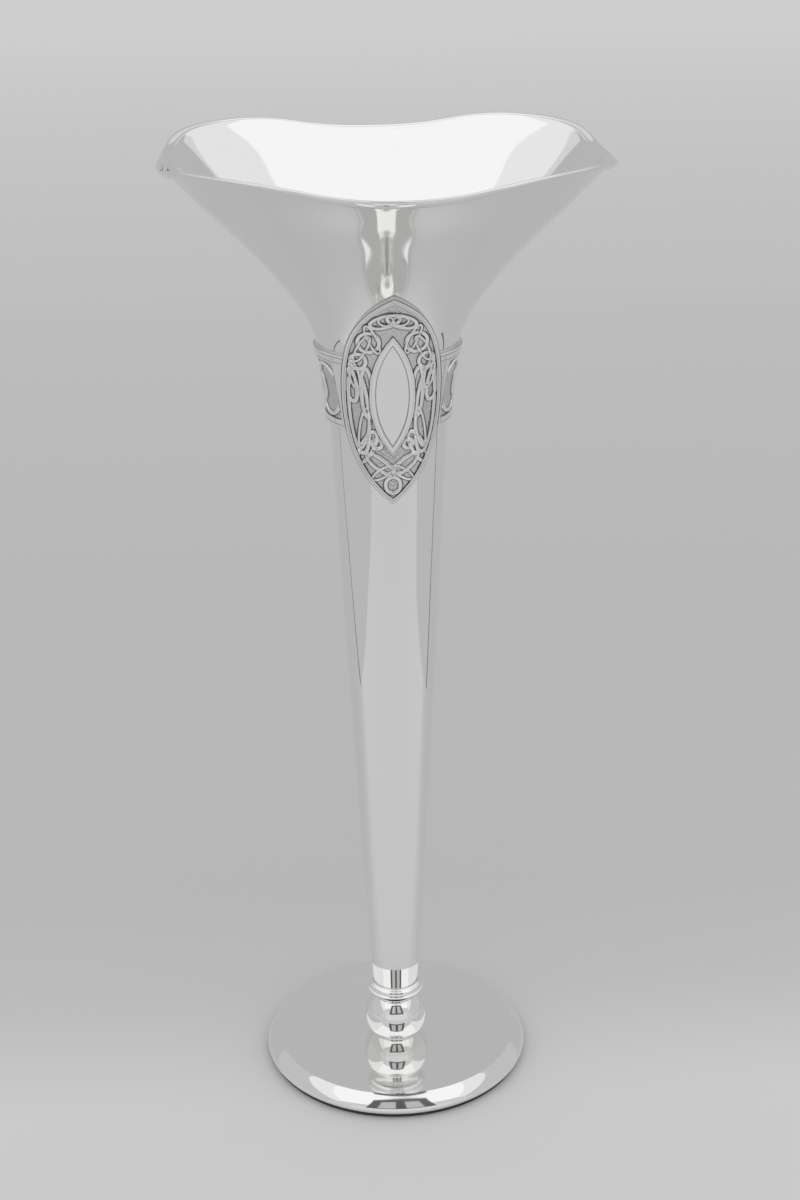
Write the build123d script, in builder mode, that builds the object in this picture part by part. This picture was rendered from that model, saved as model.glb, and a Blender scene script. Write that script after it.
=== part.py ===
from build123d import *
import os
from math import hypot, sqrt

# A trumpet vase of polished silver on a low loaded foot, in millimetres.
# Z points up, the origin is the bottom centre of the pad under the foot,
# and the front of the vase faces -Y.

# Foot, from the pad up to the rounded shoulder round its dished top
foot_radius = 43.8
foot_sheet = 0.8
foot_widest_rise = 2.2
foot_edge_run = 7.8
foot_edge_rise = 3.5
foot_edge_dip_share = 0.086
foot_seat_drop = 1.5
foot_lip_tuck = 0.9
pad_thickness = 0.8
pad_inset = 0.3

# Knop, a hollow ball cut flat below and above its centre
knop_radius = 10.3
knop_below_centre = 6.9
knop_above_centre = 7.7
knop_sheet = 0.8

# Collar, the turned ring that the stem stands in
collar_base = 3.9
collar_neck_radius = 5.2
collar_ring_radius = 9.3
collar_ring_rise = 3.2
collar_socket_depth = 2.0
collar_lip = 0.55

# Stem and bowl, one sheet thickness, joined behind the band
body_sheet = 0.9
stem_radius = 7.4
stem_length = 208.5
throat_radius = 18.65
bowl_depth = 68.0
lip_radius = 63.9
lip_slope_share = 1.18
stem_floor_thickness = 1.2

# Outline of the body, as shares of each length and of each widening
stem_shares = (
    (0, 0), (0.131, 0.138), (0.274, 0.293), (0.417, 0.431), (0.561, 0.569),
    (0.704, 0.693), (0.823, 0.800), (0.919, 0.888),
)
bowl_shares = (
    (0, 0), (0.118, 0.024), (0.206, 0.051), (0.294, 0.092), (0.382, 0.162),
    (0.500, 0.290), (0.618, 0.441), (0.735, 0.610), (0.853, 0.788), (1, 1),
)

# Wave of the lip, four dips at front, back and sides, four raised corners
lip_rise = 4.5

# Wire round the outside of the lip
wire_thickness = 1.15
wire_drop = 2.1
wire_stand = 0.25

# Cast plaques, front and back, measured from the throat
plaque_half_width = 14.8
plaque_lift = 35.2
plaque_drop = 30.5
plaque_widest_lift = 6.0
plaque_ground = 0.5
plaque_relief = 0.65
plaque_border = 1.4
reserve_half_width = 6.7
reserve_lift = 22.3
reserve_drop = 15.2
reserve_border = 1.8
reserve_recess = 0.25
strap_width = 1.35

# Band between the plaques, measured from the throat
band_lift = 15.0
band_drop = 8.1
band_top_border = 3.3
band_bottom_border = 2.5
band_field_half_width = 12.6

# Centre fixing
stud_radius = 1.5
stud_engagement = 3.5
nut_across_flats = 5.5
nut_thickness = 2.4
washer_radius = 3.5
washer_thickness = 0.5
stud_tail = 0.2

# Fits
solder_film = 0.05
bolt_clearance = 0.1
filling_clearance = 0.4
overrun = 1.0

# Pointed oval of a plaque, as shares of its half width and of its two lengths
oval_top_shares = ((1, 0.62), (0.57, 0.86))
oval_bottom_shares = ((1, 0.49), (0.68, 0.79))
oval_even_shares = ((1, 0.42), (0.62, 0.72))

# Interlaced loops on a plaque. Shares of the half width and of the height
# give the centre, shares of the half width give the two radii.
plaque_loop_shares = (
    (0.655, 0.441, 0.185, 0.890),
    (0.500, 0.530, 0.105, 0.500),
    (0.473, 0.773, 0.210, 0.210),
    (0.676, 0.677, 0.155, 0.155),
    (0.162, 0.881, 0.297, 0.130),
    (0.264, 0.193, 0.300, 0.110),
    (0.311, 0.288, 0.095, 0.095),
    (0.800, 0.560, 0.100, 0.340),
    (0.500, 0.270, 0.120, 0.360),
)
plaque_loop_tilts = (-5, -3, 0, 0, -18, 38, 0, -8, 25)
plaque_drop_loop_shares = (0, 0.093, 0.150, 0.170)

# Interlaced loops on a band, as shares of the field's half width and height
band_loop_shares = (
    (-0.62, 0.50, 0.42, 0.44),
    (0, 0.50, 0.42, 0.44),
    (0.62, 0.50, 0.42, 0.44),
    (-0.31, 0.50, 0.20, 0.22),
    (0.31, 0.50, 0.20, 0.22),
)

# Heights worked out from the stack
foot_widest_height = pad_thickness + foot_widest_rise
foot_shoulder_height = foot_widest_height + foot_edge_rise
foot_seat_height = foot_shoulder_height - foot_seat_drop
foot_seat_radius = sqrt(knop_radius ** 2 - knop_below_centre ** 2)
knop_centre = foot_seat_height + knop_below_centre
knop_top = knop_centre + knop_above_centre
stem_bottom = knop_top + collar_base
throat_height = stem_bottom + stem_length
lip_dip_height = throat_height + bowl_depth
lip_crest_height = lip_dip_height + lip_rise
lip_crest_radius = lip_radius + lip_rise * lip_slope_share
lip_corner = lip_crest_radius / sqrt(2)
reach = lip_crest_radius + 2 * overrun
plaque_bottom = throat_height - plaque_drop
plaque_height = plaque_drop + plaque_lift
plaque_thickness = plaque_ground + plaque_relief
band_bottom = throat_height - band_drop
band_top = throat_height + band_lift


def body_points():
    """Radius and height of the outside of the body, from stem to lip."""
    stem = [
        (stem_radius + wide * (throat_radius - stem_radius),
         stem_bottom + high * stem_length)
        for high, wide in stem_shares
    ]
    bowl = [
        (throat_radius + wide * (lip_radius - throat_radius),
         throat_height + high * bowl_depth)
        for high, wide in bowl_shares
    ]
    past = lip_rise + overrun
    end = (lip_radius + past * lip_slope_share, lip_dip_height + past)
    return stem + bowl + [end]


with BuildLine(Plane.XZ) as body_outline:
    Spline(*body_points())


def offset_points(distance):
    """Points of the body outline, moved outwards along its normals."""
    edge = body_outline.line.edges()[0]
    count = len(body_points())
    points = []
    for step in range(count + 1):
        place = edge @ (step / count)
        along = edge % (step / count)
        points.append((place.X + along.Z * distance, place.Z - along.X * distance))
    return points


def shell_section(near, far):
    """Section of a skin over the body, between two distances from its outside."""
    with BuildSketch(Plane.XZ) as section:
        with BuildLine():
            inner = Spline(*offset_points(near))
            outer = Spline(*offset_points(far))
            Line(inner @ 0, outer @ 0)
            Line(inner @ 1, outer @ 1)
        make_face()
    return section.sketch


def above_wave(plane, lift):
    """Everything above the waved lip, seen along one axis and moved by lift."""
    dip = lip_dip_height + lift
    crest = lip_crest_height + lift
    with BuildSketch(plane) as region:
        with BuildLine():
            Bezier((0, dip), (lip_corner / 2, dip), (lip_corner / 2, crest), (lip_corner, crest))
            Line((lip_corner, crest), (reach, crest))
            Line((reach, crest), (reach, crest + reach))
            Line((reach, crest + reach), (-reach, crest + reach))
            Line((-reach, crest + reach), (-reach, crest))
            Line((-reach, crest), (-lip_corner, crest))
            Bezier((-lip_corner, crest), (-lip_corner / 2, crest), (-lip_corner / 2, dip), (0, dip))
        make_face()
    return region.sketch


def tip_inset(inset, across, along):
    """How far a tip moves in when both of its sides move in by inset."""
    return inset * hypot(across, along) / across


def pointed_oval(half_width, bottom, widest, top, bottom_shares, top_shares, inset):
    """Oval with a point at each end on the front view, drawn in by inset."""
    upper_out, upper_up = top_shares[-1]
    lower_out, lower_down = bottom_shares[-1]
    high = top - tip_inset(inset, half_width * upper_out, (top - widest) * (1 - upper_up))
    low = bottom + tip_inset(inset, half_width * lower_out, (widest - bottom) * (1 - lower_down))
    wide = half_width - inset
    upper = [(wide * out, widest + (high - widest) * up) for out, up in top_shares]
    lower = [(wide * out, widest - (widest - low) * down) for out, down in bottom_shares]
    with BuildSketch(Plane.XZ) as oval:
        with BuildLine():
            Bezier((wide, widest), *upper, (0, high))
            Bezier((wide, widest), *lower, (0, low))
            mirror(about=Plane.YZ)
        make_face()
    return oval.sketch


def plaque_oval(inset):
    """Outline of a plaque, drawn in by inset on all sides."""
    return pointed_oval(
        plaque_half_width, plaque_bottom, throat_height + plaque_widest_lift,
        throat_height + plaque_lift, oval_bottom_shares, oval_top_shares, inset,
    )


def reserve_oval(inset):
    """Outline of the bare oval inside a plaque, drawn in by inset."""
    return pointed_oval(
        reserve_half_width, throat_height - reserve_drop,
        throat_height + (reserve_lift - reserve_drop) / 2,
        throat_height + reserve_lift, oval_even_shares, oval_even_shares, inset,
    )


def strap_loop(plane, centre, run, rise, tilt):
    """One closed oval strap, drawn on the given plane."""
    with BuildSketch(plane) as loop:
        with Locations(centre):
            Ellipse(run + strap_width / 2, rise + strap_width / 2, rotation=tilt)
            Ellipse(run - strap_width / 2, rise - strap_width / 2, rotation=tilt, mode=Mode.SUBTRACT)
    return loop.sketch


def plaque_loops():
    """All straps of a plaque, each side the mirror of the other."""
    loops = []
    for side in (-1, 1):
        for shares, tilt in zip(plaque_loop_shares, plaque_loop_tilts):
            centre = (side * shares[0] * plaque_half_width, plaque_bottom + shares[1] * plaque_height)
            run = shares[2] * plaque_half_width
            rise = shares[3] * plaque_half_width
            loops.append(strap_loop(Plane.XZ, centre, run, rise, side * tilt))
    across, up, run_share, rise_share = plaque_drop_loop_shares
    centre = (across * plaque_half_width, plaque_bottom + up * plaque_height)
    loops.append(strap_loop(
        Plane.XZ, centre, run_share * plaque_half_width, rise_share * plaque_half_width, 0
    ))
    return loops


# Base pad, felt, flat under the whole foot
with BuildPart() as base_pad:
    with BuildSketch():
        Circle(foot_radius - foot_lip_tuck - pad_inset)
    extrude(amount=pad_thickness)

# Foot shell, spun sheet with a rounded edge and a shallow dished top
foot_shoulder_radius = foot_radius - foot_edge_run
foot_lip_radius = foot_radius - foot_lip_tuck
foot_hole = stud_radius + bolt_clearance
edge_start = (1, -foot_edge_dip_share)
edge_return = (-1, foot_edge_dip_share)
with BuildPart() as foot_shell:
    with BuildSketch(Plane.XZ):
        with BuildLine():
            Line((foot_hole, foot_seat_height), (foot_seat_radius, foot_seat_height))
            Line((foot_seat_radius, foot_seat_height), (foot_shoulder_radius, foot_shoulder_height))
            Spline(
                (foot_shoulder_radius, foot_shoulder_height), (foot_radius, foot_widest_height),
                tangents=(edge_start, (0, -1)),
            )
            Spline(
                (foot_radius, foot_widest_height), (foot_lip_radius, pad_thickness),
                tangents=((0, -1), (-1, -1)),
            )
            Line((foot_lip_radius, pad_thickness), (foot_lip_radius - foot_sheet, pad_thickness))
            Spline(
                (foot_lip_radius - foot_sheet, pad_thickness), (foot_radius - foot_sheet, foot_widest_height),
                tangents=((1, 1), (0, 1)),
            )
            Spline(
                (foot_radius - foot_sheet, foot_widest_height),
                (foot_shoulder_radius, foot_shoulder_height - foot_sheet),
                tangents=((0, 1), edge_return),
            )
            Line(
                (foot_shoulder_radius, foot_shoulder_height - foot_sheet),
                (foot_seat_radius, foot_seat_height - foot_sheet),
            )
            Line((foot_seat_radius, foot_seat_height - foot_sheet), (foot_hole, foot_seat_height - foot_sheet))
            Line((foot_hole, foot_seat_height - foot_sheet), (foot_hole, foot_seat_height))
        make_face()
    revolve(axis=Axis.Z)

# Foot filling, the loading cast inside the shell round a pocket for the nut
filling_gap = foot_sheet + solder_film
pocket_radius = washer_radius + filling_clearance
with BuildPart() as foot_filling:
    with BuildSketch(Plane.XZ):
        with BuildLine():
            Line((pocket_radius, pad_thickness), (foot_lip_radius - filling_gap, pad_thickness))
            Spline(
                (foot_lip_radius - filling_gap, pad_thickness), (foot_radius - filling_gap, foot_widest_height),
                tangents=((1, 1), (0, 1)),
            )
            Spline(
                (foot_radius - filling_gap, foot_widest_height),
                (foot_shoulder_radius, foot_shoulder_height - filling_gap),
                tangents=((0, 1), edge_return),
            )
            Line(
                (foot_shoulder_radius, foot_shoulder_height - filling_gap),
                (foot_seat_radius, foot_seat_height - filling_gap),
            )
            Line((foot_seat_radius, foot_seat_height - filling_gap), (pocket_radius, foot_seat_height - filling_gap))
            Line((pocket_radius, foot_seat_height - filling_gap), (pocket_radius, pad_thickness))
        make_face()
    revolve(axis=Axis.Z)

# Washer under the foot shell
washer_top = foot_seat_height - foot_sheet
with BuildPart() as washer:
    with BuildSketch(Plane.XY.offset(washer_top - washer_thickness)):
        Circle(washer_radius)
        Circle(foot_hole, mode=Mode.SUBTRACT)
    extrude(amount=washer_thickness)

# Nut under the washer
nut_bottom = washer_top - washer_thickness - nut_thickness
with BuildPart() as nut:
    with BuildSketch(Plane.XY.offset(nut_bottom)):
        RegularPolygon(nut_across_flats / 2, side_count=6, major_radius=False)
        Circle(stud_radius + solder_film, mode=Mode.SUBTRACT)
    extrude(amount=nut_thickness)

# Stud from the nut up into the base of the collar
stud_bottom = nut_bottom - stud_tail
stud_top = knop_top + stud_engagement
with BuildPart() as stud:
    with BuildSketch(Plane.XY.offset(stud_bottom)):
        Circle(stud_radius)
    extrude(amount=stud_top - stud_bottom)

# Knop, one hollow ball made as two halves that meet at the equator
knop_height = knop_top - foot_seat_height
with BuildPart() as knop_ball:
    with BuildSketch(Plane.XZ):
        with Locations((0, knop_centre)):
            Circle(knop_radius)
            Circle(knop_radius - knop_sheet, mode=Mode.SUBTRACT)
        with Locations((0, foot_seat_height)):
            Rectangle(knop_radius, knop_height, align=(Align.MIN, Align.MIN), mode=Mode.INTERSECT)
        with Locations((0, foot_seat_height)):
            Rectangle(foot_hole, knop_height, align=(Align.MIN, Align.MIN), mode=Mode.SUBTRACT)
    revolve(axis=Axis.Z)

with BuildPart() as knop_lower:
    add(knop_ball.part)
    split(bisect_by=Plane.XY.offset(knop_centre), keep=Keep.BOTTOM)

with BuildPart() as knop_upper:
    add(knop_ball.part)
    split(bisect_by=Plane.XY.offset(knop_centre), keep=Keep.TOP)

# Collar, turned ring with a neck below and a socket for the stem above
collar_ring_top = stem_bottom + collar_socket_depth - collar_lip / 2
collar_ring_bottom = collar_ring_top - collar_ring_rise
collar_ring_middle = (collar_ring_top + collar_ring_bottom) / 2
collar_top = stem_bottom + collar_socket_depth
stem_spread = (throat_radius - stem_radius) * stem_shares[1][1] / (stem_length * stem_shares[1][0])
socket_radius = stem_radius + solder_film
socket_top_radius = socket_radius + collar_socket_depth * stem_spread
collar_shoulder_radius = socket_top_radius + collar_lip
with BuildPart() as collar:
    with BuildSketch(Plane.XZ):
        with BuildLine():
            Line((0, knop_top), (collar_neck_radius, knop_top))
            Spline(
                (collar_neck_radius, knop_top), (collar_shoulder_radius, collar_ring_bottom),
                tangents=((0, 1), (1, 0)),
            )
            ThreePointArc(
                (collar_shoulder_radius, collar_ring_bottom), (collar_ring_radius, collar_ring_middle),
                (collar_shoulder_radius, collar_ring_top),
            )
            Line((collar_shoulder_radius, collar_ring_top), (socket_top_radius, collar_top))
            Line((socket_top_radius, collar_top), (socket_radius, stem_bottom))
            Line((socket_radius, stem_bottom), (0, stem_bottom))
            Line((0, stem_bottom), (0, knop_top))
        make_face()
    revolve(axis=Axis.Z)
    with BuildSketch(Plane.XY.offset(knop_top)):
        Circle(stud_radius + solder_film)
    extrude(amount=stud_engagement, mode=Mode.SUBTRACT)

# Body sheet, the whole trumpet before it is parted and its lip is waved
with BuildPart() as body_blank:
    revolve(shell_section(-body_sheet, 0), axis=Axis.Z)
    extrude(above_wave(Plane.XZ, 0), amount=reach, both=True, mode=Mode.SUBTRACT)
    extrude(above_wave(Plane.YZ, 0), amount=reach, both=True, mode=Mode.SUBTRACT)

with BuildPart() as stem_tube:
    add(body_blank.part)
    split(bisect_by=Plane.XY.offset(throat_height), keep=Keep.BOTTOM)

with BuildPart() as bowl:
    add(body_blank.part)
    split(bisect_by=Plane.XY.offset(throat_height), keep=Keep.TOP)

# Stem floor, the disc that keeps water out of the collar
with BuildPart() as stem_floor:
    with BuildSketch(Plane.XY.offset(stem_bottom)):
        Circle(stem_radius - body_sheet - solder_film)
    extrude(amount=stem_floor_thickness)

# Rim wire, a moulded strip that follows the waved lip on its outside
with BuildPart() as rim_wire:
    extrude(above_wave(Plane.XZ, -wire_drop), amount=reach, both=True)
    extrude(above_wave(Plane.YZ, -wire_drop), amount=reach, both=True)
    revolve(shell_section(solder_film, wire_thickness), axis=Axis.Z, mode=Mode.INTERSECT)
    extrude(above_wave(Plane.XZ, wire_stand), amount=reach, both=True, mode=Mode.SUBTRACT)
    extrude(above_wave(Plane.YZ, wire_stand), amount=reach, both=True, mode=Mode.SUBTRACT)

# Plaque recess, the ground that is left between border, reserve and straps
with BuildSketch(Plane.XZ) as plaque_field:
    add(plaque_oval(plaque_border))
    add(reserve_oval(0), mode=Mode.SUBTRACT)
    for plaque_loop in plaque_loops():
        add(plaque_loop, mode=Mode.SUBTRACT)

with BuildPart() as plaque_recess:
    extrude(plaque_field.sketch, amount=reach)
    revolve(
        shell_section(plaque_ground, plaque_thickness + overrun), axis=Axis.Z, mode=Mode.INTERSECT
    )

# Reserve recess, the bare oval, sunk a little inside its own border
with BuildPart() as reserve_pocket:
    extrude(reserve_oval(reserve_border), amount=reach)
    revolve(
        shell_section(plaque_thickness - reserve_recess, plaque_thickness + overrun),
        axis=Axis.Z, mode=Mode.INTERSECT,
    )

# Front plaque, a casting curved to the body
with BuildPart() as front_plaque:
    extrude(plaque_oval(0), amount=reach)
    revolve(shell_section(solder_film, plaque_thickness), axis=Axis.Z, mode=Mode.INTERSECT)
    add(plaque_recess.part, mode=Mode.SUBTRACT)
    add(reserve_pocket.part, mode=Mode.SUBTRACT)

with BuildPart() as back_plaque:
    add(front_plaque.part, rotation=(0, 0, 180))

# Band recess, the ground between the borders and the straps of a band
field_bottom = band_bottom + band_bottom_border
field_top = band_top - band_top_border
field_height = field_top - field_bottom
with BuildSketch(Plane.YZ) as band_field:
    with Locations((0, field_bottom)):
        Rectangle(2 * band_field_half_width, field_height, align=(Align.CENTER, Align.MIN))
    for across, up, run_share, rise_share in band_loop_shares:
        loop_centre = (across * band_field_half_width, field_bottom + up * field_height)
        add(
            strap_loop(Plane.YZ, loop_centre, run_share * band_field_half_width, rise_share * field_height, 0),
            mode=Mode.SUBTRACT,
        )

with BuildPart() as band_recess:
    extrude(band_field.sketch, amount=reach)
    revolve(
        shell_section(plaque_ground, plaque_thickness + overrun), axis=Axis.Z, mode=Mode.INTERSECT
    )

# Bands, one on each side, from plaque to plaque
with BuildPart() as band_right:
    with BuildSketch(Plane.YZ):
        with Locations((0, band_bottom)):
            Rectangle(2 * reach, band_top - band_bottom, align=(Align.CENTER, Align.MIN))
    extrude(amount=reach)
    revolve(shell_section(solder_film, plaque_thickness - solder_film), axis=Axis.Z, mode=Mode.INTERSECT)
    extrude(plaque_oval(0), amount=reach, both=True, mode=Mode.SUBTRACT)
    add(band_recess.part, mode=Mode.SUBTRACT)

with BuildPart() as band_left:
    add(band_right.part, rotation=(0, 0, 180))

# Every piece under its own name, one file each
os.makedirs("parts", exist_ok=True)
pieces = {
    "base_pad": base_pad,
    "foot_shell": foot_shell,
    "foot_filling": foot_filling,
    "washer": washer,
    "nut": nut,
    "stud": stud,
    "knop_lower": knop_lower,
    "knop_upper": knop_upper,
    "collar": collar,
    "stem_tube": stem_tube,
    "stem_floor": stem_floor,
    "bowl": bowl,
    "rim_wire": rim_wire,
    "front_plaque": front_plaque,
    "back_plaque": back_plaque,
    "band_left": band_left,
    "band_right": band_right,
}
for name, piece in pieces.items():
    piece.part.label = name
    export_step(piece.part, f"parts/{name}.step")
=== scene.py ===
import math

import bmesh
import bpy
import numpy as np
from mathutils import Matrix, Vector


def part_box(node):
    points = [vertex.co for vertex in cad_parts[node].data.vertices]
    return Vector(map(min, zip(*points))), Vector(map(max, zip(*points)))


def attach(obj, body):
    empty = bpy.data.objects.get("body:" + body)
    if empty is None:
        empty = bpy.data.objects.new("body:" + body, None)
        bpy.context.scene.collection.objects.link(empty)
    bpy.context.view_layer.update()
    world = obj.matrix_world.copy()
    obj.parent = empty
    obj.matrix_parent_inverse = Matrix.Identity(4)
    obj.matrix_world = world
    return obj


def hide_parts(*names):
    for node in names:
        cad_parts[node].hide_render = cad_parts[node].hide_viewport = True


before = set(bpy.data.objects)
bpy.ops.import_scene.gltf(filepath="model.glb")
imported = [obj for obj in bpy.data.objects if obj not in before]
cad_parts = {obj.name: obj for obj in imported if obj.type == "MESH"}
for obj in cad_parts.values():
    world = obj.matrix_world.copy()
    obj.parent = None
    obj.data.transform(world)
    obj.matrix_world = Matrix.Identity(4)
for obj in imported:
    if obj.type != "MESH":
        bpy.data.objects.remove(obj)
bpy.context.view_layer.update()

# Polished silver trumpet vase in a light tent. Shapes are written in
# millimetres, as the solids are, and turned into metres where meshes are made.
MM = 0.001

# Heights of the main parts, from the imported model
STEM_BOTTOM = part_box("stem_tube")[0].z / MM
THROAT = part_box("bowl")[0].z / MM
LIP_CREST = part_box("bowl")[1].z / MM
KNOP_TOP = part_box("collar")[0].z / MM
FOOT_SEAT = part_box("knop_lower")[0].z / MM
FOOT_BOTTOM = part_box("foot_shell")[0].z / MM

# Body sheet; FILM is the gap that solder fills under applied pieces
SHEET = 0.9
FILM = 0.05
STEM_RADIUS = 7.4
THROAT_RADIUS = 18.65
LIP_RADIUS = 63.9
LIP_SLOPE = 1.18
LIP_RISE = 4.5
LIP_DIP = LIP_CREST - LIP_RISE
LIP_CORNER = (LIP_RADIUS + LIP_RISE * LIP_SLOPE) / math.sqrt(2)
LIP_HANDLE = 0.5
LIP_ROUNDING = 0.3

# Outline of stem and bowl, shares of height and of widening
STEM_SHARES = (
    (0, 0), (0.131, 0.138), (0.274, 0.293), (0.417, 0.431), (0.561, 0.569),
    (0.704, 0.693), (0.823, 0.800), (0.919, 0.888),
)
BOWL_SHARES = (
    (0, 0), (0.118, 0.024), (0.206, 0.051), (0.294, 0.092), (0.382, 0.162),
    (0.500, 0.290), (0.618, 0.441), (0.735, 0.610), (0.853, 0.788), (1, 1),
)

# Wire under the lip
WIRE_THICK = 1.15
WIRE_DROP = 2.1
WIRE_STAND = 0.25
WIRE_SQUARENESS = 2.6

# Plaque and its interlace
PLAQUE_HALF = 14.8
PLAQUE_TOP = THROAT + 35.2
PLAQUE_BOTTOM = THROAT - 30.5
PLAQUE_WIDEST = THROAT + 6.0
PLAQUE_BORDER = 1.4
GROUND = 0.5
RELIEF_TOP = 1.15
RESERVE_HALF = 6.7
RESERVE_TOP = THROAT + 22.3
RESERVE_BOTTOM = THROAT - 15.2
RESERVE_BORDER = 1.8
RESERVE_SINK = 0.25
STRAP = 1.35
STRAP_DIP = 0.6
# Darkness of the low ground: oxide with painted shade
GROUND_OXIDE_AND_SHADE = 0.42
GROOVE_HALF = 0.22
GROOVE_DEPTH = 0.15
OUTER_ROUNDING = 0.4
OUTER_RUN = 0.35
OVAL_TOP = ((1, 0.62), (0.57, 0.86))
OVAL_BOTTOM = ((1, 0.49), (0.68, 0.79))
OVAL_EVEN = ((1, 0.42), (0.62, 0.72))
PLAQUE_LOOPS = (
    (0.655, 0.441, 0.185, 0.890, -5),
    (0.500, 0.530, 0.105, 0.500, -3),
    (0.473, 0.773, 0.210, 0.210, 0),
    (0.676, 0.677, 0.155, 0.155, 0),
    (0.162, 0.881, 0.297, 0.130, -18),
    (0.264, 0.193, 0.300, 0.110, 38),
    (0.311, 0.288, 0.095, 0.095, 0),
    (0.800, 0.560, 0.100, 0.340, -8),
    (0.500, 0.270, 0.120, 0.360, 25),
)
DROP_LOOP = (0, 0.093, 0.150, 0.170)
# Narrow straps threaded through the loops, too slight to be solids
THREADED_LOOPS = (
    (0.400, 0.790, 0.085, 0.330, -24),
    (0.600, 0.740, 0.090, 0.300, 26),
    (0.740, 0.610, 0.090, 0.300, -12),
    (0.140, 0.885, 0.150, 0.100, 0),
    (0.200, 0.150, 0.240, 0.085, -34),
    (0.560, 0.360, 0.085, 0.420, 8),
)
THREAD_STRAP = 0.9

# Band between the plaques
BAND_TOP = THROAT + 15.0
BAND_BOTTOM = THROAT - 8.1
BAND_TOP_BORDER = 3.3
BAND_BOTTOM_BORDER = 2.5
BAND_FIELD_HALF = 12.6
BAND_LOOPS = (
    (-0.62, 0.50, 0.42, 0.44),
    (0, 0.50, 0.42, 0.44),
    (0.62, 0.50, 0.42, 0.44),
    (-0.31, 0.50, 0.20, 0.22),
    (0.31, 0.50, 0.20, 0.22),
)
BAND_GROOVE_HALF = 0.25
BAND_GROOVE_DEPTH = 0.14
# Darkness painted into the band's grooves as shade
BAND_GROOVE_SHADE = 0.7
BAND_SINK = 0.06

# Collar
COLLAR_NECK = 5.2
COLLAR_RING = 9.3
COLLAR_RING_RISE = 3.2
COLLAR_SOCKET = 2.0
COLLAR_LIP = 0.55
COLLAR_BORE = 3.5
STUD_HOLE = 1.6

# Knop
KNOP_RADIUS = 10.3
KNOP_SHEET = 0.8
KNOP_CENTRE = FOOT_SEAT + 6.9

# Foot: a low dish, a crease and a rolled edge
FOOT_RADIUS = 43.8
FOOT_SHEET = 0.8
FOOT_WIDEST = FOOT_BOTTOM + 1.9
FOOT_CREASE = (FOOT_RADIUS - 3.8, FOOT_SEAT + 2.3)
FOOT_CREASE_TILT = math.radians(46)
FOOT_EDGE_PULL = 4.5
FOOT_LIP = (FOOT_RADIUS - 0.9, FOOT_BOTTOM + 0.5)
PAD_ROUNDING = 0.25

# Points along curves, faces around turned pieces, and the distance in metres at
# which points are merged
SPAN_POINTS = 80
WAVE_POINTS = 200
WAVE_ROUNDS = 20
OVAL_POINTS = 120
LOOP_POINTS = 1440
STEM_FACES = 224
COLLAR_FACES = 160
KNOP_FACES = 200
FOOT_FACES = 320
PAD_FACES = 256
WELD = 1e-7


# Curves and outlines


def natural_spline(points, per_span):
    """Smooth curve through the points, with the chords as its parameter."""
    points = np.array(points, float)
    knots = np.concatenate([[0], np.cumsum(np.hypot(*np.diff(points, axis=0).T))])
    gaps = np.diff(knots)
    count = len(points)
    system = np.eye(count)
    pull = np.zeros((count, 2))
    for i in range(1, count - 1):
        system[i, i - 1:i + 2] = gaps[i - 1], 2 * (gaps[i - 1] + gaps[i]), gaps[i]
        rise = np.diff(points[i - 1:i + 2], axis=0) / gaps[i - 1:i + 1, None]
        pull[i] = 6 * (rise[1] - rise[0])
    bend = np.linalg.solve(system, pull)
    curve = []
    for i in range(count - 1):
        ahead = np.linspace(0, 1, per_span, endpoint=False)[:, None] * gaps[i]
        back = gaps[i] - ahead
        curve.append(
            (bend[i] * back ** 3 + bend[i + 1] * ahead ** 3) / (6 * gaps[i])
            + (points[i] / gaps[i] - bend[i] * gaps[i] / 6) * back
            + (points[i + 1] / gaps[i] - bend[i + 1] * gaps[i] / 6) * ahead
        )
    return np.vstack(curve + [points[-1:]])


def body_outline():
    """Dense radius and height of the outside of the body."""
    stem_widening, stem_height = THROAT_RADIUS - STEM_RADIUS, THROAT - STEM_BOTTOM
    bowl_widening, bowl_height = LIP_RADIUS - THROAT_RADIUS, LIP_DIP - THROAT
    stem = [
        (STEM_RADIUS + wide * stem_widening, STEM_BOTTOM + high * stem_height)
        for high, wide in STEM_SHARES
    ]
    bowl = [
        (THROAT_RADIUS + wide * bowl_widening, THROAT + high * bowl_height)
        for high, wide in BOWL_SHARES
    ]
    past = LIP_RISE + 1
    beyond = [(LIP_RADIUS + past * LIP_SLOPE, LIP_DIP + past)]
    return natural_spline(stem + bowl + beyond, SPAN_POINTS)


BODY = body_outline()
BODY_SLOPE = np.gradient(BODY[:, 0], BODY[:, 1])


def slant_at(height):
    """Length along the body's slope for each millimetre of height."""
    return np.sqrt(1 + np.interp(height, BODY[:, 1], BODY_SLOPE) ** 2)


def radius_at(height, out=0.0):
    """Radius of the body at a height, moved out along its normal."""
    return np.interp(height, BODY[:, 1], BODY[:, 0]) + out * slant_at(height)


def smooth(x):
    """Eases from 0 to 1 as x does."""
    x = np.clip(x, 0, 1)
    return x * x * (3 - 2 * x)


def lip_height(angle):
    """Height of the waved lip at each angle."""
    share = np.linspace(0, 1, WAVE_POINTS)
    across = LIP_CORNER * (3 * LIP_HANDLE * share * (1 - share) + share ** 3)
    rise = LIP_DIP + LIP_RISE * smooth(share)
    off_axis = np.abs((angle + math.pi / 4) % (math.pi / 2) - math.pi / 4)
    height = np.full(angle.shape, LIP_DIP)
    for _ in range(WAVE_ROUNDS):
        height = np.interp(radius_at(height) * np.sin(off_axis), across, rise)
    return height


def bezier(points):
    """Points along a cubic Bezier curve."""
    a, b, c, d = (np.array(p, float) for p in points)
    share = np.linspace(0, 1, OVAL_POINTS)[:, None]
    return ((1 - share) ** 3 * a + 3 * share * (1 - share) ** 2 * b
            + 3 * share ** 2 * (1 - share) * c + share ** 3 * d)


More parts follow.
